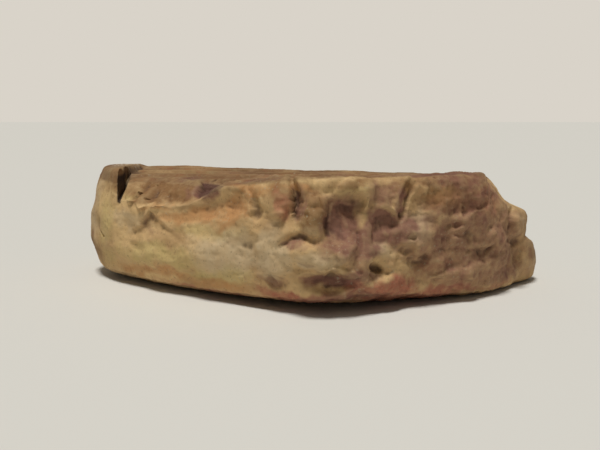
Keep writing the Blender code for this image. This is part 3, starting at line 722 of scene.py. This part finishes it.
def skin(x, y, z):
    """The fine relief of the surface along its normals, in metres: grain and crumbs less small pits,
    each stronger on the broken front, and nothing where the lump rests."""
    front = front_share(x, y)
    grain = layered(x, y, z, GRAIN)
    crumbs = CRUMB_HEIGHT * (0.4 - np.abs(lattice_noise(x, y, 1.3 * z, CRUMB_SIZE, 43)))
    crumbs += CRUMB_HEIGHT * chips(x + FRONT_SLANT * y, z, CRUMB_SIZE, 46)
    holes = sum(deep * MM * pits(x, y, z, size * MM, share, seed) for deep, size, share, seed in PITS)
    rough = 0.25 + front * (0.30 + 0.45 * ramp(x, -0.16 * LENGTH, 0.04 * LENGTH))
    out = (0.45 + 0.55 * front) * grain + rough * crumbs - (0.4 + 0.6 * front) * holes
    return out * ramp(z, 0.05 * MM, 0.4 * MM)


def closed_mesh(name, net):
    """The net as a closed mesh: its rows joined by quads, and a fan to one point at each end."""
    rows, around, _ = net.shape
    low, high = net[0].mean(axis=0), net[-1].mean(axis=0)
    points = np.vstack([net.reshape(-1, 3), low, high])
    this = np.arange(around)
    after = np.roll(this, -1)
    row = np.arange(rows - 1)[:, None] * around
    above = row + around
    quads = np.stack([row + this, row + after, above + after, above + this], axis=2).reshape(-1, 4)
    last = (rows - 1) * around
    low_fan = np.stack([np.full(around, rows * around), after, this], axis=1)
    high_fan = np.stack([np.full(around, rows * around + 1), last + this, last + after], axis=1)
    mesh = bpy.data.meshes.new(name)
    mesh.from_pydata(points, [], quads.tolist() + low_fan.tolist() + high_fan.tolist())
    mesh.update()
    return mesh


def in_few_faces(mesh, triangles):
    """The same surface in fewer triangles, taken from where it is flattest."""
    rough = bpy.data.objects.new("rough", mesh)
    bpy.context.scene.collection.objects.link(rough)
    fewer = rough.modifiers.new("fewer faces", "DECIMATE")
    fewer.ratio = triangles / (2 * len(mesh.polygons))
    done = bpy.data.meshes.new_from_object(rough.evaluated_get(bpy.context.evaluated_depsgraph_get()))
    bpy.data.objects.remove(rough)
    bpy.data.meshes.remove(mesh)
    return done


# Stains on the broken front: across and up as shares of the length and the height, half width and
# half height in millimetres, strength, and turn in degrees. Some mauve ovals paint the shade in dents
# and in the hollow behind the flap, and some umber ovals on the upper left paint the shade on the
# steep flanks of the broken bench.
STAINS_AND_SHADE = {
    "orange": (
        (-0.220, 0.715, 5.5, 0.90, 0.8, 12), (-0.130, 0.780, 2.6, 1.10, 0.9, 40),
        (-0.300, 0.740, 3.0, 0.4, 0.5, 10), (-0.100, 0.980, 2.6, 0.60, 0.7, 0),
        (0.260, 0.900, 3.0, 1.00, 0.4, 0), (0.360, 0.800, 2.0, 1.3, 0.5, -30),
        (-0.300, 0.180, 6.0, 0.90, 0.7, 0), (-0.170, 0.160, 4.0, 0.80, 0.7, 0),
        (0.460, 0.330, 1.6, 1.6, 0.4, 0), (0.250, 0.350, 3.0, 0.80, 0.4, 10),
        (-0.015, 1.000, 1.6, 0.60, 0.7, 0), (0.010, 0.600, 0.8, 0.8, 0.2, 0),
    ),
    # Some of these ovals paint the shade in dents and in the hollow behind the flap.
    "mauve_and_shade": (
        (0.066, 0.760, 2.4, 2.50, 1.0, 0), (0.139, 0.730, 1.8, 1.20, 1.0, 0),
        (0.140, 0.920, 1.8, 1.60, 0.7, 0), (0.085, 0.560, 1.2, 1.60, 0.6, 0),
        (0.300, 0.520, 5.0, 1.20, 0.6, 0), (0.390, 0.340, 3.6, 1.80, 0.6, 0),
        (-0.190, 0.925, 2.2, 1.20, 1.0, 12), (0.045, 0.270, 3.0, 0.90, 1.0, 0),
        (-0.052, 0.260, 1.6, 0.80, 0.6, 0), (-0.015, 0.610, 1.8, 0.70, 0.7, 15),
        (0.200, 0.450, 3.0, 1.40, 0.4, 0), (0.360, 0.900, 1.8, 1.0, 0.4, -40),
        (-0.012, 0.880, 0.7, 2.00, 0.7, 0), (-0.310, 0.590, 2.2, 1.20, 0.3, 0),
        (0.175, 0.850, 0.7, 1.80, 0.8, 0), (0.320, 0.500, 9.5, 6.50, 0.68, 0),
        (0.100, 0.420, 2.0, 4.00, 0.5, 0), (0.340, 0.860, 5.0, 2.00, 0.6, -10),
        (0.080, 0.130, 5.0, 0.90, 0.7, 0), (0.060, 0.900, 3.0, 1.00, 0.4, 0),
        (0.400, 0.180, 5.0, 1.00, 0.7, 0), (0.112, 0.640, 3.6, 1.60, 0.9, 0),
        (0.085, 0.560, 2.6, 1.60, 0.8, 0), (0.300, 1.040, 5.0, 1.20, 0.6, 0),
        (0.168, 0.650, 2.2, 2.00, 0.9, 0), (0.108, 0.490, 2.2, 1.60, 0.8, 0),
        (0.095, 0.320, 2.4, 1.00, 0.8, 0), (0.055, 0.600, 2.4, 1.20, 0.7, 0),
    ),
    "grey": (
        (0.013, 0.700, 1.0, 0.80, 0.5, 0), (0.027, 0.480, 3.2, 1.20, 0.6, 0),
        (0.205, 0.640, 2.0, 2.0, 0.6, 0), (-0.150, 0.440, 4.6, 3.00, 0.7, 0),
        (-0.060, 0.480, 2.6, 3.00, 0.7, 0), (0.455, 0.650, 1.4, 1.5, 0.8, 0),
        (-0.370, 0.620, 2.6, 1.40, 0.5, 0), (0.130, 0.520, 2.0, 1.20, 0.6, 0),
        (-0.480, 0.850, 1.2, 2.0, 0.5, 0),
    ),
    "olive": (
        (0.085, 0.990, 2.6, 1.00, 0.4, 0), (-0.290, 0.350, 6.0, 1.60, 0.7, 0),
        (-0.440, 0.600, 2.6, 4.0, 0.7, 0), (-0.180, 0.600, 4.0, 1.00, 0.6, 0),
        (0.300, 0.640, 4.0, 1.00, 0.3, 0), (0.420, 0.760, 2.0, 1.4, 0.4, 0),
        (-0.358, 0.860, 1.3, 0.50, 0.6, 40), (-0.165, 0.240, 4.5, 1.20, 0.8, 5),
        (-0.440, 0.250, 3.0, 2.00, 0.6, 0),
    ),
    # Some of these ovals on the upper left paint the shade on the steep flanks of the broken bench.
    "umber_and_shade": (
        (-0.300, 0.900, 4.0, 1.60, 0.9, 15), (-0.235, 0.920, 2.4, 1.60, 1.0, 0),
        (-0.120, 0.960, 2.6, 0.80, 0.6, 0), (-0.312, 0.860, 1.3, 0.50, 1.0, 55),
        (-0.264, 0.870, 1.6, 1.10, 1.0, 10), (0.013, 0.830, 1.5, 2.40, 0.9, 0),
        (0.002, 0.960, 1.6, 1.20, 0.9, 0), (-0.048, 0.950, 1.8, 1.20, 0.7, 0),
        (-0.330, 0.830, 1.8, 0.90, 0.8, 10), (-0.405, 0.930, 2.0, 1.50, 0.6, 0),
        (0.270, 1.050, 5.0, 1.00, 0.8, 0), (0.085, 1.030, 2.8, 0.80, 0.7, 0),
        (-0.306, 0.800, 2.0, 0.70, 0.9, 0), (-0.355, 0.900, 1.3, 1.40, 0.6, 0),
        (0.180, 0.930, 0.6, 1.60, 0.9, -5), (0.455, 0.720, 1.8, 1.30, 0.8, 0),
        (0.415, 0.860, 2.0, 1.60, 0.9, -50), (0.040, 0.270, 3.0, 0.70, 0.6, 0),
        (0.180, 0.980, 1.6, 1.00, 0.8, 0), (0.290, 0.880, 6.0, 2.20, 1.0, -6),
        (0.270, 0.640, 3.0, 1.20, 0.5, 0), (0.060, 0.620, 3.0, 1.20, 0.4, 0),
        (0.420, 0.300, 3.0, 2.00, 0.5, 0), (0.220, 0.300, 3.0, 1.20, 0.4, 0),
    ),
    "red": (
        (-0.170, 0.080, 8.0, 0.40, 0.6, 0), (0.150, 0.200, 3.4, 1.10, 1.0, 0),
        (0.020, 0.120, 6.0, 0.80, 1.0, 0), (0.270, 0.120, 4.5, 0.70, 0.8, 0),
        (-0.047, 0.850, 1.2, 1.60, 0.6, 0), (0.090, 0.230, 1.4, 0.90, 0.8, 0),
        (0.380, 0.100, 4.0, 0.50, 0.5, 0), (0.350, 0.930, 1.4, 1.20, 0.5, 0),
        (-0.060, 0.150, 2.4, 0.70, 0.7, 0), (0.190, 0.070, 6.5, 1.20, 1.0, 0),
    ),
}

# How much of each stain lies on the other sides, and the seed of the noise that spreads it there.
ELSEWHERE = {"orange": (0.35, 51), "mauve_and_shade": (0.40, 52), "grey": (0.55, 53), "olive": (0.55, 54),
             "red": (0.12, 55), "umber_and_shade": (0.75, 56)}


def stain_and_shade(name, x, y, z):
    """How strong one stain is, with the painted shade that some of its ovals carry: the strongest of its
    ovals on the broken front below the top face's edge, with ragged rims, and noise elsewhere."""
    bent = [v + 0.65 * MM * lattice_noise(x, y, z, 1.9 * MM, seed)
            + 0.35 * MM * lattice_noise(x, y, z, 0.7 * MM, seed + 9) for v, seed in ((x, 61), (z, 62))]
    most = np.zeros_like(x)
    for a, u, half_width, half_height, strength, turn in STAINS_AND_SHADE[name]:
        oval = lump(*bent, (a, u), (half_width * MM, half_height * MM), turn)
        most = np.maximum(most, strength * oval)
    amount, seed = ELSEWHERE[name]
    clouds = lattice_noise(x, y, z, 4.5 * MM, seed) + 0.5 * lattice_noise(x, y, z, 1.7 * MM, seed)
    spread = ramp(clouds, -0.2, 0.7)
    front = front_share(x, y) * ramp(plain_face(x, y) - z, 0.1 * MM, 0.6 * MM)
    return front * most + (1 - front) * amount * spread


def recess(mesh):
    """How deep each vertex lies below the blurred surface around it: the mean of its neighbours, taken
    over and over, less its own place, measured along its normal, after few rounds and after many."""
    count = len(mesh.vertices)
    place = read(mesh.vertices, "co", 3)
    normal = read(mesh.vertices, "normal", 3)
    edges = np.zeros(2 * len(mesh.edges), np.int32)
    mesh.edges.foreach_get("vertices", edges)
    a, b = edges.reshape(-1, 2).T
    links = np.bincount(np.concatenate([a, b]), minlength=count)
    blurred = place.copy()
    depths = []
    for turn in range(LARGE_BLUR):
        summed = np.stack([np.bincount(a, blurred[b, i], count) + np.bincount(b, blurred[a, i], count)
                           for i in range(3)], axis=1)
        blurred = summed / links[:, None]
        if turn + 1 in (SMALL_BLUR, LARGE_BLUR):
            depths.append(((blurred - place) * normal).sum(axis=1))
    return depths


def read(items, name, width):
    """One property of a mesh's vertices as an array of rows."""
    values = np.zeros(len(items) * width, np.float32)
    items.foreach_get(name, values)
    return values.reshape(-1, width).astype(float)


def give(mesh, name, values):
    """Stores a value for each vertex under a name that the material reads."""
    layer = mesh.attributes.new(name, "FLOAT", "POINT")
    layer.data.foreach_set("value", values.astype(np.float32))


def linear(red, green, blue):
    """A colour as a screen shows it, from 0 to 255, as the light it stands for."""
    shares = [v / 255 for v in (red, green, blue)]
    return tuple(v / 12.92 if v <= 0.04045 else ((v + 0.055) / 1.055) ** 2.4 for v in shares) + (1,)


class Nodes:
    """Adds nodes to one node tree and links them."""

    def __init__(self, tree):
        self.tree = tree

    def add(self, kind, inputs=(), **settings):
        """A node with its settings, and its inputs as values or as sockets of other nodes."""
        node = self.tree.nodes.new(kind)
        for name, value in settings.items():
            setattr(node, name, value)
        for key, value in dict(inputs).items():
            if isinstance(value, bpy.types.NodeSocket):
                self.tree.links.new(value, node.inputs[key])
            else:
                node.inputs[key].default_value = value
        return node

    def mask(self, name):
        """A value that the mesh stores for each vertex."""
        return self.add("ShaderNodeAttribute", attribute_name=name).outputs["Fac"]

    def maths(self, operation, *values):
        """One sum or product of values or sockets."""
        node = self.add("ShaderNodeMath", dict(enumerate(values)), operation=operation)
        return node.outputs[0]

    def mix(self, share, first, second):
        """The first colour with a share of the second."""
        node = self.add("ShaderNodeMix", data_type="RGBA")
        for key, kind, value in (("Factor", "VALUE", share), ("A", "RGBA", first), ("B", "RGBA", second)):
            socket = next(s for s in node.inputs if s.name == key and s.type == kind)
            if isinstance(value, bpy.types.NodeSocket):
                self.tree.links.new(value, socket)
            else:
                socket.default_value = value
        return next(s for s in node.outputs if s.type == "RGBA")

    def over(self, tone, mask, strength, colour):
        """The tone so far with a colour laid over it where a mask is, in the mask's share of a strength."""
        return self.mix(self.maths("MULTIPLY", mask, strength), tone, linear(*colour))

    def noise(self, place, size, detail=3.0, roughness=0.55):
        """Soft noise from 0 to 1 whose lumps have about the given size."""
        inputs = {"Vector": place, "Scale": 1 / size, "Detail": detail, "Roughness": roughness}
        return self.add("ShaderNodeTexNoise", inputs).outputs["Fac"]

    def between(self, value, low, high):
        """A value as a share of the way from low to high, held from 0 to 1."""
        inputs = {"Value": value, "From Min": low, "From Max": high}
        return self.add("ShaderNodeMapRange", inputs).outputs["Result"]


def clay_finish():
    """Dry weathered clay: mottled by stains and the painted shade that some of them carry, pale grains,
    painted shade with dark earth in the recesses, painted shade in the slot, a painted highlight on
    raised edges, and matte.
    """
    material = bpy.data.materials.new("weathered clay")
    material.use_nodes = True
    n = Nodes(material.node_tree)
    shader = material.node_tree.nodes["Principled BSDF"]
    place = n.add("ShaderNodeTexCoord").outputs["Object"]
    coarse = n.noise(place, 4.0 * MM)
    middle = n.noise(place, 1.3 * MM, 4.0, 0.6)
    fine = n.noise(place, 0.34 * MM, 3.0, 0.6)
    tone = n.mix(n.between(coarse, 0.35, 0.65), linear(*DARK_CLAY), linear(*LIGHT_CLAY))
    uneven = n.maths("MULTIPLY", n.maths("SUBTRACT", middle, 0.5), 0.9)
    for name, colour in STAIN_AND_SHADE_COLOURS.items():
        ragged = n.between(n.maths("ADD", n.mask(name), uneven), 0.12, 0.85)
        tone = n.over(tone, ragged, 0.9, colour)
    tone = n.over(tone, n.between(fine, 0.60, 0.72), n.maths("MULTIPLY", n.mask("bloom"), 0.55), PALE_GRAINS)
    tone = n.over(tone, n.between(fine, 0.42, 0.28), 0.35, DARK_GRAINS)
    # Painted shade in hollows, under faces that look down and in the hollow behind the flap, with dark earth
    # on the top face.
    tone = n.over(tone, n.mask("recess"), 0.8, EARTH_AND_SHADE)
    # A painted highlight on raised edges.
    tone = n.over(tone, n.mask("edge"), 0.2, EDGE_HIGHLIGHT)
    tone = n.over(tone, n.mask("crust"), n.between(fine, 0.42, 0.68), CRUST)
    # Painted shade, nearly black, in the slot and the crack behind it.
    tone = n.over(tone, n.mask("slot"), 0.95, SLOT_SHADE)
    grains = n.noise(place, 0.16 * MM, 3.0, 0.65)
    height = n.maths("ADD", fine, grains)
    bump = n.add("ShaderNodeBump", {"Height": height, "Strength": 0.5, "Distance": 0.06 * MM})
    n.tree.links.new(tone, shader.inputs["Base Color"])
    n.tree.links.new(n.between(middle, -1.0, 0.9), shader.inputs["Roughness"])
    n.tree.links.new(bump.outputs["Normal"], shader.inputs["Normal"])
    shader.inputs["Specular IOR Level"].default_value = 0.25
    return material


def lay_masks(mesh):
    """Stores the masks that the finish reads: painted shade in the slot, the pale crust, painted shade in
    what lies deep, in what faces down and in the hollow behind the flap, dark earth on the top face, a
    painted highlight on raised edges, bloom, and the stains with the shade that some of them paint.
    Umber lies all over the top face, and mauve on its right front."""
    x, y, z = read(mesh.vertices, "co", 3).T
    front, height = front_share(x, y), z - plain_face(x, y)
    small, large = recess(mesh)
    # Painted shade on faces that look down.
    below = ramp(-read(mesh.vertices, "normal", 3)[:, 2], 0.45, 0.9) * 0.5
    # Painted shade in small and large hollows.
    sunk_shade = ramp(small, 0.02 * MM, 0.12 * MM) * 0.25 + ramp(large, 0.06 * MM, 0.5 * MM) * 0.65
    # Painted shade in the hollow behind the flap.
    hollow_shade = ramp(hollow(x, z), 0.6 * MM, 1.6 * MM) * ramp(-height, 0.25 * MM, 0.5 * MM) * 0.85 * front
    painted_shade = np.clip(np.max([sunk_shade, hollow_shade, below], axis=0), 0, 1)
    on_face = ramp(height, -0.7 * MM, -0.3 * MM) * (1 - front * ramp(painted_shade, 0.3, 0.6))
    earth = 0.38 + 0.20 * lattice_noise(x, 0.3 * y, z, 2.2 * MM, 58)
    earth = np.clip(earth + 0.8 * ramp(pressed(x, y), 0.06 * MM, 0.3 * MM), 0, 0.9)
    # Painted shade in the slot.
    give(mesh, "slot", in_slot(x, y, z))
    give(mesh, "crust", pale_crust(x, y, z))
    # Painted shade, with dark earth on the top face and in the strokes.
    give(mesh, "recess", np.maximum(painted_shade, on_face * earth))
    # A painted highlight on raised edges.
    give(mesh, "edge", ramp(-small, 0.015 * MM, 0.08 * MM))
    give(mesh, "bloom", 0.35 + 0.65 * ramp(lattice_noise(x, y, z, 3.3 * MM, 71), -0.1, 0.6))
    also = {"umber_and_shade": on_face * (0.75 + 0.25 * lattice_noise(x, y, z, 2.6 * MM, 57)),
            "mauve_and_shade": 0.7 * on_face * front * ramp(x, 0.12 * LENGTH, 0.2 * LENGTH)}
    for name in STAINS_AND_SHADE:
        amount = stain_and_shade(name, x, y, z)
        give(mesh, name, np.maximum(amount, also[name]) if name in also else amount)


def seal():
    """The lump of clay as one fine closed piece, with the masks that its finish reads."""
    net = drawn_in(*rays(NET_AROUND, NET_STEP))
    net = net + net_normals(net) * skin(*net.reshape(-1, 3).T).reshape(net.shape[:2])[..., None]
    mesh = with_slot(in_few_faces(closed_mesh("seal skin", net), TRIANGLES))
    mesh.shade_smooth()
    mesh.set_sharp_from_angle(angle=SHARP_ANGLE)
    lay_masks(mesh)
    place = read(mesh.vertices, "co", 3)
    box_middle = (np.array(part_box("clay_seal")[0]) + np.array(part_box("clay_seal")[1])) / 2
    own_middle = (place.min(axis=0) + place.max(axis=0)) / 2
    shift = (box_middle - own_middle) * (1, 1, 0)
    mesh.vertices.foreach_set("co", (place + shift).astype(np.float32).ravel())
    mesh.update()
    mesh.materials.clear()
    mesh.materials.append(clay_finish())
    piece = bpy.data.objects.new("seal", mesh)
    bpy.context.scene.collection.objects.link(piece)
    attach(piece, "root")
    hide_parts("clay_seal")
    return piece


def ground():
    """The plain pale surface that the seal lies on."""
    material = bpy.data.materials.new("pale surface")
    material.use_nodes = True
    shader = material.node_tree.nodes["Principled BSDF"]
    shader.inputs["Base Color"].default_value = linear(*SURFACE)
    shader.inputs["Roughness"].default_value = 0.8
    shader.inputs["Specular IOR Level"].default_value = 0.1
    half = 3.0
    mesh = bpy.data.meshes.new("ground")
    corners = [(-half, -half, 0), (half, -half, 0), (half, half, 0), (-half, half, 0)]
    mesh.from_pydata(corners, [], [(0, 1, 2, 3)])
    mesh.materials.append(material)
    floor = bpy.data.objects.new("ground", mesh)
    bpy.context.scene.collection.objects.link(floor)


def lamp(name, turn, spread, power, colour):
    """Even soft light from far away: its turn and its spread in degrees, pointing straight down at first."""
    data = bpy.data.lights.new(name, "SUN")
    data.angle = math.radians(spread)
    data.energy = power
    data.color = colour
    obj = bpy.data.objects.new(name, data)
    obj.rotation_euler = Euler([math.radians(a) for a in turn])
    bpy.context.scene.collection.objects.link(obj)


def light():
    """Broad soft light from overhead and an even dim room, whose far wall is as pale as the surface."""
    lamp("overhead", LAMP_TURN, LAMP_SPREAD, LAMP_POWER, LAMP_COLOUR)
    world = bpy.data.worlds.new("room")
    bpy.context.scene.world = world
    world.use_nodes = True
    n = Nodes(world.node_tree)
    shown = n.add("ShaderNodeBackground", {"Color": linear(*FAR_WALL), "Strength": 1.0}).outputs[0]
    lit = n.add("ShaderNodeBackground", {"Color": linear(*FAR_WALL), "Strength": ROOM_LIGHT}).outputs[0]
    seen = n.add("ShaderNodeLightPath").outputs["Is Camera Ray"]
    both = n.add("ShaderNodeMixShader", {0: seen, 1: lit, 2: shown}).outputs[0]
    world.node_tree.links.new(both, world.node_tree.nodes["World Output"].inputs["Surface"])


def camera():
    """The camera stands close, a little above the seal, and looks down at it slightly."""
    data = bpy.data.cameras.new("camera")
    data.lens = CAMERA_LENS
    data.clip_start = 1 * MM
    obj = bpy.data.objects.new("camera", data)
    obj.location = CAMERA_PLACE
    obj.rotation_euler = Euler((math.pi / 2 - CAMERA_PITCH, 0, 0))
    bpy.context.scene.collection.objects.link(obj)
    bpy.context.scene.camera = obj


bpy.context.scene.view_settings.view_transform = "Standard"
seal()
ground()
light()
camera()
